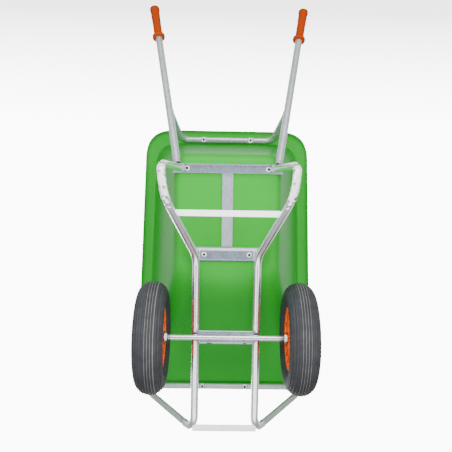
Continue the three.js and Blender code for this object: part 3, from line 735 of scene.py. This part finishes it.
# ---- tray ----
def outline(level, inset=0.0, corner_steps=10, side_steps=12):
    """A rounded four-cornered outline, anticlockwise from above."""
    corners = [
        (level["half_rear"] - inset, level["rear"] - inset, level["round_rear"]),
        (-(level["half_rear"] - inset), level["rear"] - inset, level["round_rear"]),
        (-(level["half_front"] - inset), level["front"] + inset, level["round_front"]),
        (level["half_front"] - inset, level["front"] + inset, level["round_front"]),
    ]
    arcs = []
    for i, (x, y, rounding) in enumerate(corners):
        here = Vector((x, y))
        back = Vector(corners[i - 1][:2]) - here
        ahead = Vector(corners[(i + 1) % 4][:2]) - here
        reach = max(rounding - inset / 2, 0.004)
        start, end = here + back.normalized() * reach, here + ahead.normalized() * reach
        steps = [k / corner_steps for k in range(corner_steps + 1)]
        arcs.append([start * (1 - t) ** 2 + here * 2 * t * (1 - t) + end * t * t for t in steps])
    points = []
    for i, arc in enumerate(arcs):
        following = arcs[(i + 1) % 4][0]
        points += arc
        points += [arc[-1].lerp(following, k / side_steps) for k in range(1, side_steps)]
    return [(p.x, p.y + AXLE_Y) for p in points]


def level_ring(points, z):
    """An outline's points at one height, as an array."""
    return np.array([(x, y, z) for x, y in points])


def bowl_rings(inset, fillet, steps=8):
    """Rings from the edge of the flat floor up to the top of the wall."""
    floor_z = FLOOR + inset
    edge = level_ring(outline(LEVELS["floor"], inset), floor_z)
    top = level_ring(outline(LEVELS["top"], inset), RIM_TOP - WALL + inset)
    flat = level_ring(outline(LEVELS["floor"], inset + fillet), floor_z)
    share = fillet / (RIM_TOP - WALL - FLOOR)
    foot = lerp(edge, top, share)
    rings = []
    for i in range(steps + 1):
        t = i / steps
        rings.append(lerp(lerp(flat, edge, t), lerp(edge, foot, t), t))
    for t in (0.12, 0.3, 0.5, 0.7, 0.86, 0.95):
        rings.append(lerp(foot, top, t))
    return rings, top


def flange_height(ring, height):
    """A copy of a ring at another height."""
    ring = ring.copy()
    ring[:, 2] = height
    return ring


def wall_bend(start, corner, end, shares):
    """Rings on a smooth bend from one ring to another, drawn towards a corner ring."""
    return [lerp(lerp(start, corner, t), lerp(corner, end, t), t) for t in shares]


def rim_edge_rings():
    """Rings down round the rim's outer lip, which is shallow over the front bar."""
    rim = level_ring(outline(LEVELS["rim"]), RIM_TOP)
    front = smoothstep((AXLE_Y + HOOP_Y + 0.052 - rim[:, 1]) / 0.03)
    drop = lerp(RIM_LIP, FRONT_LIP, front)
    steps = (
        (LIP_WALL, np.minimum(drop, 0.0050)), (LIP_WALL, drop - 0.0008), (LIP_WALL / 2, drop),
        (0.0, drop - 0.0008), (0.0, 0.0030), (LIP_ROUND, 0.0009), (0.0034, 0.0),
    )
    rings = []
    for inset, fall in steps:
        rings.append(flange_height(level_ring(outline(LEVELS["rim"], inset), RIM_TOP), RIM_TOP - fall))
    return rings


def tray_rings():
    """One skin, from the middle of the outside floor out, over the rim and down to the inside floor."""
    outside, outer_top = bowl_rings(0.0, OUTER_FILLET)
    inside, inner_top = bowl_rings(WALL, INNER_FILLET)
    rim = level_ring(outline(LEVELS["rim"]), RIM_TOP)
    under = RIM_TOP - WALL
    corner = flange_height(outer_top, under)
    bend = flange_height(lerp(outer_top, rim, FLANGE_BEND), under)
    rings = outside + wall_bend(outside[-1], corner, bend, (0.35, 0.7, 1.0))
    rings += [flange_height(lerp(outer_top, rim, t), under) for t in (0.35, 0.6, 0.82)]
    rings += rim_edge_rings()
    rings += [flange_height(lerp(inner_top, rim, t), RIM_TOP) for t in (0.7, 0.4, 0.2)]
    rings += wall_bend(rings[-1], flange_height(inner_top, RIM_TOP), inside[-1], (0.25, 0.5, 0.75))
    return rings + inside[::-1]


def add_tray():
    rings = tray_rings()
    around = len(rings[0])
    faces = strip_faces(len(rings), around) + end_caps(len(rings), around)
    piece("tray_moulding", np.concatenate(rings), faces, "frame", "tray_green", GREEN, "tray", sharp=60.0)


# ---- grips ----
def add_grips():
    """Hand grips: a waisted body with fine rings, a rounded end and a wide guard flange."""
    length = GRIP_LENGTH
    body = []
    for i in range(61):
        share = i / 60
        along = -0.020 - share * (length - 0.042)
        waist = 0.0186 - 0.0013 * smoothstep(share * 1.6)
        ripple = 0.00035 * math.sin(share * 22 * 2 * math.pi)
        body.append((waist + ripple, along))
    bore = TUBE + GAP
    profile = [
        (0.0002, 0.0066), (0.0100, 0.0066), (0.0165, 0.0060), (0.0195, 0.0042), (0.0207, 0.0010),
        (0.0207, -0.0080), (0.0200, -0.0115), (0.0190, -0.0150), *body,
        (0.0178, -length + 0.0200), (0.0200, -length + 0.0165), (0.0245, -length + 0.0140),
        (0.0258, -length + 0.0115), (0.0260, -length + 0.0055), (0.0254, -length + 0.0022),
        (0.0236, -length), (bore, -length), (bore, -0.004), (0.0002, -0.004),
    ]
    for name, side in SIDES.items():
        tip = place(side * HANDLE_TIP.x, HANDLE_TIP.y, HANDLE_TIP.z)
        axis = tip - handle_point(side, HANDLE_FOOT.y)
        shape = turned(profile, tip, axis, 40)
        piece(f"hand_grip_{name}", *shape, "frame", "grip_orange", GRIP, f"grip_{name}")


# ---- wheels ----
def tyre_section(pale_shift):
    """The tyre's closed section as (radius, along), and which stretches are paler rib tops."""
    height = WHEEL_RADIUS - TYRE_CROWN
    points, worn = [], []
    steps = 150
    for i in range(steps + 1):
        angle = TYRE_FOOT + TYRE_SWEEP * i / steps
        along = TYRE_HALF * math.cos(angle)
        radius = TYRE_CROWN + height * math.sin(angle)
        tread = abs(along) < TREAD_HALF and math.sin(angle) > 0.3
        if tread:
            phase = (along / RIB_SPACING) % 1.0 - 0.5
            on_rib = 1.0 - float(smoothstep((abs(phase) * RIB_SPACING - RIB_TOP_HALF) / GROOVE_SLOPE))
            groove = GROOVE_DEPTH * (1.0 - on_rib)
            radius -= groove * math.sin(angle)
            along -= groove * math.cos(angle)
            worn.append(on_rib > 0.9 and abs(along - pale_shift) < 2.1 * RIB_SPACING)
        else:
            worn.append(False)
        points.append((radius, along))
    inner = []
    for i in range(25):
        angle = math.pi - TYRE_FOOT - TYRE_SWEEP * i / 24
        radius = TYRE_CROWN + (height - TYRE_WALLS[0]) * math.sin(angle)
        inner.append((radius, (TYRE_HALF - TYRE_WALLS[1]) * math.cos(angle)))
    bead_low = [(0.1155, -0.0330), (0.1080, -0.0318), (0.1052, -0.0300), (0.1050, -0.0230)]
    bead_high = [(0.1050, 0.0230), (0.1052, 0.0300), (0.1080, 0.0318), (0.1155, 0.0330)]
    section = points + bead_low + inner + bead_high
    worn += [False] * (len(section) - len(worn))
    return section, worn


def add_tyre(name, side, body):
    """A ribbed tyre; the middle ribs' tops are paler."""
    section, worn = tyre_section(-RIB_SPACING if side > 0 else 0.0)
    sides = 96
    points, faces = turned(section, place(side * TRACK, 0, WHEEL_RADIUS), (1, 0, 0), sides)
    pale = [a and b for a, b in zip(worn, worn[1:] + worn[:1])]
    marks = [1 if pale[i // sides] else 0 for i in range(len(faces))]
    finishes = [TREAD, PALE_RIB_TOPS]
    piece(f"tyre_{name}_ribbed", points, faces, body, "tyre_rubber", finishes, f"tyre_{name}", marks, 50.0)


def rim_rib(centre, turn, edge=0.0009):
    """A radial rib that runs through the wheel from face to face, with eased edges."""
    half, depth = RIM_RIB_HALF, RIM_RIB_DEPTH
    section = (
        (-depth, -half + edge), (-depth, half - edge), (-depth + edge, half), (depth - edge, half),
        (depth, half - edge), (depth, -half + edge), (depth - edge, -half), (-depth + edge, -half),
    )
    ends = (HUB_RADIUS, RIM_RIB_END)
    spots = [centre + turn @ Vector((x, t, radius)) for radius in ends for x, t in section]
    return spots, strip_faces(2, len(section)) + end_caps(2, len(section))


def add_rim(name, side, body):
    """A moulded rim: barrel with flanges, a middle web, a hub and radial ribs on both faces."""
    centre = place(side * TRACK, 0, WHEEL_RADIUS)
    barrel = [
        (0.0144, HUB_HALF), (HUB_RADIUS, HUB_HALF), (0.0240, HUB_HALF - 0.0012), (0.0250, 0.006),
        (0.0270, 0.0032), (0.0880, 0.0032), (0.0915, 0.0055), (0.0930, 0.0100), (0.0940, 0.0370),
        (0.0955, 0.0388), (0.1125, 0.0388), (0.1140, 0.0375), (0.1140, 0.0352), (0.1125, 0.0338),
        (0.1050, 0.0328), (0.1038, 0.0315), (0.1000, 0.0120), (0.0990, 0.0),
    ]
    mirrored = [(radius, -along) for radius, along in barrel[:-1][::-1]]
    parts = [turned(barrel + mirrored, centre, (1, 0, 0), 72)]
    barrel_faces = len(parts[0][1])
    for i in range(RIM_RIBS):
        turn = Matrix.Rotation(2 * math.pi * (i + 0.5) / RIM_RIBS + math.pi / 2, 3, "X")
        parts.append(rim_rib(centre, turn))
    points, faces = merged(parts)
    on_web = []
    for p in points:
        on_web.append(math.hypot(p.y - centre.y, p.z - centre.z) < 0.0925 and abs(p.x - centre.x) < 0.0395)
    # the web and the ribs' sides take the darker orange: painted shade between the ribs
    marks = []
    for k, face in enumerate(faces):
        depths = [points[i].x - centre.x for i in face]
        rib_side = k >= barrel_faces and max(depths) - min(depths) > 0.02
        web = k < barrel_faces and all(on_web[i] for i in face)
        marks.append(1 if rib_side or web else 0)
    finishes = [ORANGE, ORANGE_PAINTED_SHADE]
    piece(f"rim_{name}_moulding", points, faces, body, "rim_orange", finishes, f"rim_{name}", marks)


def add_bushes(name, side, body):
    """A flanged bush at each end of the hub."""
    centre = place(side * TRACK, 0, WHEEL_RADIUS)
    bore, skirt, flange = AXLE_RADIUS + 0.0004, 0.0140, 0.0200
    for label, face in (("outer", side), ("inner", -side)):
        inner_end, step, end = HUB_HALF - 0.026, HUB_HALF + GAP, HUB_HALF + 0.0025
        profile = [
            (bore, inner_end), (skirt, inner_end), (skirt, step), (flange - 0.0006, step),
            (flange, step + 0.0006), (flange, end - 0.0006), (flange - 0.0008, end), (bore, end),
        ]
        shape = turned(profile, centre, (face, 0, 0), 40)
        piece(f"hub_bush_{label}_{name}", *shape, body, "black_plastic", BLACK, f"bush_{label}_{name}")


def add_valve(name, body):
    """A valve stem along a radius of the wheel, with a waist between its two thick ends."""
    low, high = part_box(f"valve_{name}")
    near, far = sorted((low.y, high.y), key=lambda y: abs(y - AXLE_Y))
    length = abs(far - near)
    start = Vector(((low.x + high.x) / 2, near, (low.z + high.z) / 2))
    outward = Vector((0, math.copysign(1, far - near), 0))
    stem = [
        (0.0002, 0.0), (0.0040, 0.0), (0.0040, length * 0.55), (0.0034, length * 0.60),
        (0.0031, length * 0.74), (0.0040, length * 0.75), (0.0042, length * 0.78), (0.0042, length * 0.93),
        (0.0036, length * 0.985), (0.0002, length),
    ]
    shape = turned(stem, start, outward, 24)
    piece(f"valve_stem_{name}", *shape, body, "tube_rubber", TUBE_RUBBER, f"valve_{name}")


def add_axle_parts():
    """The axle, and the collar, washer and split pin on each side of it."""
    centre = place(0, 0, WHEEL_RADIUS)
    half, ease = AXLE_HIGH.x, 0.0012
    profile = [
        (0.0002, -half), (AXLE_RADIUS - ease, -half), (AXLE_RADIUS, -half + ease),
        (AXLE_RADIUS, half - ease), (AXLE_RADIUS - ease, half), (0.0002, half),
    ]
    piece("axle_bar", *turned(profile, centre, (1, 0, 0), 40), "frame", "zinc", TUBE_ZINC, "axle")
    rings = (("axle_collar", "white_plastic", WHITE, 0.88), ("axle_washer", "fastener", FASTENER, 1.0))
    for name in SIDES:
        for node, slot, material, share in rings:
            a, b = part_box(f"{node}_{name}")
            outer, bore, thick = (b.z - a.z) / 2 * share, AXLE_RADIUS + GAP, b.x - a.x
            edge = min(0.001, thick / 4)
            ring = [
                (bore, 0), (outer - edge, 0), (outer, edge), (outer, thick - edge),
                (outer - edge, thick), (bore, thick),
            ]
            shape = turned(ring, Vector((a.x, centre.y, centre.z)), (1, 0, 0), 40)
            piece(f"{node}_{name}_turned", *shape, "frame", slot, material, f"{node}_{name}")
        add_split_pin(name)


def add_split_pin(name):
    """A bent wire: an eye on top, two legs through the axle, bent apart below."""
    low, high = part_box(f"split_pin_{name}")
    x, y = (low.x + high.x) / 2, (low.y + high.y) / 2
    wire = 0.0011
    eye, legs_apart, splay = 0.0036, 0.0012, 0.0065
    eye_centre = high.z - wire - eye
    foot, waist = low.z + wire, WHEEL_RADIUS - AXLE_RADIUS - 0.002
    route = [Vector((x, y - splay, foot)), Vector((x, y - legs_apart, waist))]
    for i in range(17):
        angle = math.radians(-70 - 20 * i)
        route.append(Vector((x, y + eye * math.sin(angle), eye_centre - eye * math.cos(angle))))
    route += [Vector((x, y + legs_apart, waist)), Vector((x, y + splay, foot))]
    route = resampled(route, 0.0012)
    spots, faces = tube(route, wire, wall=wire * 0.9, sides=10, mouth=0.0002)
    piece(f"split_pin_{name}_wire", spots, faces, "frame", "fastener", FASTENER, f"split_pin_{name}")


# ---- fasteners ----
def middle_of(low, high):
    """The middle of a box, seen from above."""
    return Vector(((low.x + high.x) / 2, (low.y + high.y) / 2, 0))


def add_bolt(node):
    """A carriage bolt with a domed head; its cut end is painted dark as painted shade."""
    low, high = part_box(node)
    head, seat, shank = (high.x - low.x) / 2, high.z - 0.0045, 0.0029
    rise = high.z - seat - 0.0008
    turns = [math.radians(degrees) for degrees in (0, 15, 30, 45, 60, 75, 89)]
    dome = [(head * math.cos(turn), seat + 0.0008 + rise * math.sin(turn)) for turn in turns]
    stem = [(0.0002, low.z), (shank - 0.0006, low.z), (shank, low.z + 0.0006), (shank, seat), (head, seat)]
    points, faces = turned(stem + dome, middle_of(low, high), (0, 0, 1), 24)
    # the cut end takes painted shade
    marks = [1 if all(points[i].z < low.z + 0.001 for i in face) else 0 for face in faces]
    name = node.replace("tray_bolt", "carriage_bolt")
    piece(name, points, faces, "frame", "fastener", [FASTENER, DARK_STEEL_AND_PAINTED_SHADE], node, marks)


def add_nut(node):
    """A hexagon nut with a round flange painted pale as a painted highlight, and its hexagon painted dark
    as painted shade.
    """
    low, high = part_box(node)
    bore, flange, hexagon = 0.0032, 0.0088, 0.0058
    washer = [
        (bore, high.z - 0.0018), (flange - 0.0016, high.z - 0.0018), (flange, high.z - 0.0008),
        (flange, high.z), (bore, high.z),
    ]
    block = [
        (bore, low.z), (hexagon - 0.0009, low.z), (hexagon, low.z + 0.0008), (hexagon, high.z - 0.0012),
        (bore, high.z - 0.0012),
    ]
    centre = middle_of(low, high)
    flange_shape = turned(washer, centre, (0, 0, 1), 32)
    points, faces = merged([flange_shape, turned(block, centre, (0, 0, 1), 6)])
    # the flange takes a painted highlight, the hexagon painted shade
    marks = [0 if k < len(flange_shape[1]) else 1 for k in range(len(faces))]
    name = node.replace("tray_nut", "flange_nut")
    piece(name, points, faces, "frame", "fastener", [PALE_ZINC_PAINTED_HIGHLIGHT, DARK_STEEL_AND_PAINTED_SHADE], node, marks, sharp=25.0)


def add_fasteners():
    for node in sorted(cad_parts):
        if node.startswith("tray_bolt_"):
            add_bolt(node)
        elif node.startswith("tray_nut_"):
            add_nut(node)


def finish_inner_tubes():
    for name in SIDES:
        soften(f"inner_tube_{name}", TUBE_RUBBER, 0.0005)


# ---- stage ----
def one_sided(n, front):
    """Shows a surface from its front and lets its back be looked through."""
    clear = n.add("ShaderNodeBsdfTransparent")
    mix = n.add("ShaderNodeMixShader")
    n.link(n.add("ShaderNodeNewGeometry").outputs["Backfacing"], mix.inputs[0])
    n.link(front, mix.inputs[1])
    n.link(clear.outputs[0], mix.inputs[2])
    n.link(mix.outputs[0], n.tree.nodes["Material Output"].inputs["Surface"])


def stage_sheet(name, reach, middle, face, material, hidden_from):
    """A square sheet of the set, which the kinds of ray in hidden_from don't see."""
    mesh = bpy.data.meshes.new(name)
    corners = [(-reach, -reach, 0), (reach, -reach, 0), (reach, reach, 0), (-reach, reach, 0)]
    mesh.from_pydata(corners, [], [face])
    mesh.materials.append(material)
    sheet = bpy.data.objects.new(name, mesh)
    sheet.location = middle
    bpy.context.scene.collection.objects.link(sheet)
    for way in hidden_from:
        setattr(sheet, f"visible_{way}", False)


def add_floor():
    """A pale floor that is solid from above and clear from below."""
    n = Nodes("studio_floor")
    tone = n.ramp(n.noise(1.5, 2.0), [(0.3, grey(0.86)), (0.7, grey(0.90))])
    n.finish(tone, Roughness=0.9)
    one_sided(n, n.shader.outputs[0])
    stage_sheet("floor", 12.0, (0, 0, 0), (0, 1, 2, 3), n.material, ("shadow", "glossy", "diffuse"))


def add_backdrop():
    """A bright sheet high above the barrow, brighter to the front, which closes the view from below."""
    n = Nodes("studio_backdrop")
    tint = n.ramp(n.noise(0.7, 1.0), [(0.3, grey(0.985)), (0.7, grey(1.0))])
    across = n.add("ShaderNodeSeparateXYZ")
    n.link(n.place, across.inputs[0])
    shade = n.add("ShaderNodeMapRange")
    set_range(shade, 0.70, 1.45, 11.0, 3.7)
    n.link(across.outputs["Y"], shade.inputs["Value"])
    glow = n.add("ShaderNodeEmission")
    n.link(tint, glow.inputs["Color"])
    n.link(shade.outputs["Result"], glow.inputs["Strength"])
    one_sided(n, glow.outputs[0])
    hidden_from = ("shadow", "glossy", "diffuse", "transmission")
    stage_sheet("backdrop", 1.9, place(0, 0.4, 1.9), (0, 3, 2, 1), n.material, hidden_from)


def add_world():
    """Soft light all round: a bright band below the horizon, dimmer straight down and level."""
    world = bpy.data.worlds.new("studio")
    bpy.context.scene.world = world
    world.use_nodes = True
    tree = world.node_tree
    direction = tree.nodes.new("ShaderNodeTexCoord")
    parts = tree.nodes.new("ShaderNodeSeparateXYZ")
    tree.links.new(direction.outputs["Generated"], parts.inputs[0])
    height = tree.nodes.new("ShaderNodeMapRange")
    set_range(height, -1.0, 1.0, 0.0, 1.0)
    tree.links.new(parts.outputs["Z"], height.inputs["Value"])
    bands = tree.nodes.new("ShaderNodeValToRGB")
    fill_ramp(bands, [
        (0.00, (0.16, 0.16, 0.185)), (0.04, (0.19, 0.19, 0.215)), (0.07, (0.95, 0.95, 0.96)),
        (0.18, (1.00, 1.00, 1.00)), (0.25, (0.24, 0.24, 0.25)), (0.50, (0.12, 0.122, 0.125)),
        (0.75, (0.28, 0.28, 0.28)), (1.00, (0.70, 0.70, 0.70)),
    ])
    tree.links.new(height.outputs["Result"], bands.inputs["Fac"])
    lean = tree.nodes.new("ShaderNodeMapRange")
    set_range(lean, -1.0, 1.0, 2.7, 3.9)
    tree.links.new(parts.outputs["Y"], lean.inputs["Value"])
    background = tree.nodes["Background"]
    tree.links.new(bands.outputs["Color"], background.inputs["Color"])
    tree.links.new(lean.outputs["Result"], background.inputs["Strength"])


def area_light(name, location, target, size, power):
    """A soft light that faces its target."""
    light = bpy.data.lights.new(name, "AREA")
    light.shape = "RECTANGLE"
    light.size, light.size_y = size
    light.energy = power
    thing = bpy.data.objects.new(name, light)
    thing.location = location
    thing.rotation_euler = (Vector(target) - Vector(location)).to_track_quat("-Z", "Y").to_euler()
    bpy.context.scene.collection.objects.link(thing)
    return thing


def add_lights():
    middle = place(0, 0.4, 0.4)
    area_light("key_above", place(1.6, -1.4, 3.4), middle, (1.6, 1.6), 70)
    area_light("key_below", place(-0.4, 2.9, -2.2), middle, (1.4, 0.7), 25)
    fill = area_light("fill_below", place(0, 0.70, -0.9), place(0, 0.5, 0.4), (0.5, 0.5), 26)
    fill.visible_glossy = False
    fill.visible_camera = False


def add_camera():
    """Under the barrow, looking straight up: the barrow hangs nose down in the picture."""
    right, up = Vector((-1, 0, 0)), Vector((0, 1, 0))
    base = Matrix((right, up, right.cross(up))).transposed()
    turn = Matrix.Rotation(-CAMERA_YAW, 3, "Y") @ Matrix.Rotation(CAMERA_ROLL, 3, "Z")
    data = bpy.data.cameras.new("camera")
    data.sensor_width = 36.0
    data.lens = CAMERA_LENS
    camera = bpy.data.objects.new("camera", data)
    camera.matrix_world = Matrix.Translation(place(*CAMERA_PLACE)) @ (base @ turn).to_4x4()
    bpy.context.scene.collection.objects.link(camera)
    bpy.context.scene.camera = camera


add_camera()
add_legs_and_handles()
add_rim_bars()
add_shoes()
add_sheet_metal()
add_joint_welds()
add_axle_welds()
add_tray()
add_grips()
for wheel_name, wheel_side in SIDES.items():
    add_tyre(wheel_name, wheel_side, f"{wheel_name}_wheel")
    add_rim(wheel_name, wheel_side, f"{wheel_name}_wheel")
    add_bushes(wheel_name, wheel_side, f"{wheel_name}_wheel")
    add_valve(wheel_name, f"{wheel_name}_wheel")
add_axle_parts()
add_fasteners()
finish_inner_tubes()
add_floor()
add_backdrop()
add_world()
add_lights()
